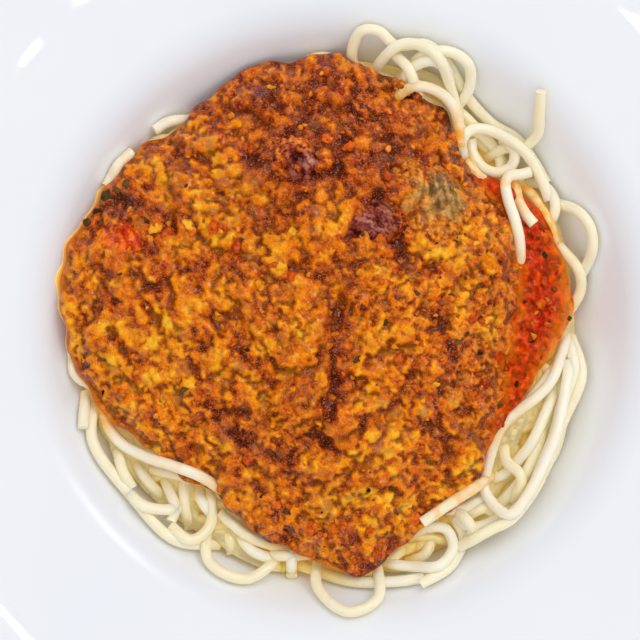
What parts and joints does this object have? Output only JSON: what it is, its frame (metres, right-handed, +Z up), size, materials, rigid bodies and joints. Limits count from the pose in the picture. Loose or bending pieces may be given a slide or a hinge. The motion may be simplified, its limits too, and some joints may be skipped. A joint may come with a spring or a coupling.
{
  "type": "spaghetti bolognese",
  "caption": "Heap of spaghetti under a thick minced-meat sauce with a patch of smooth tomato sauce, served in the deep well of a wide-rimmed white pasta plate.",
  "frame": {"origin": "centre of the plate, on the surface that its foot ring stands on", "axes": "+Z up; +Y towards the top of the plated heap as seen from above; +X to the right, where the smooth tomato sauce lies"},
  "size_m": [0.27, 0.27, 0.0436],
  "materials": {
    "china": "white gloss glaze",
    "pasta": "moist pale ivory pasta",
    "meat_sauce": "oily orange-brown minced meat sauce",
    "tomato_sauce": "wet smooth red tomato sauce",
    "meat": "grey-brown cooked meat",
    "dark_meat": "purple-brown cooked meat",
    "tomato": "wet orange-red tomato flesh"
  },
  "bodies": {
    "root": {"plate": "china", "spaghetti": "pasta", "meat_sauce": "meat_sauce", "tomato_sauce": "tomato_sauce", "meat_chunk": "meat", "meat_piece_1": "dark_meat", "meat_piece_2": "dark_meat", "tomato_piece": "tomato"}
  },
  "joints": []
}
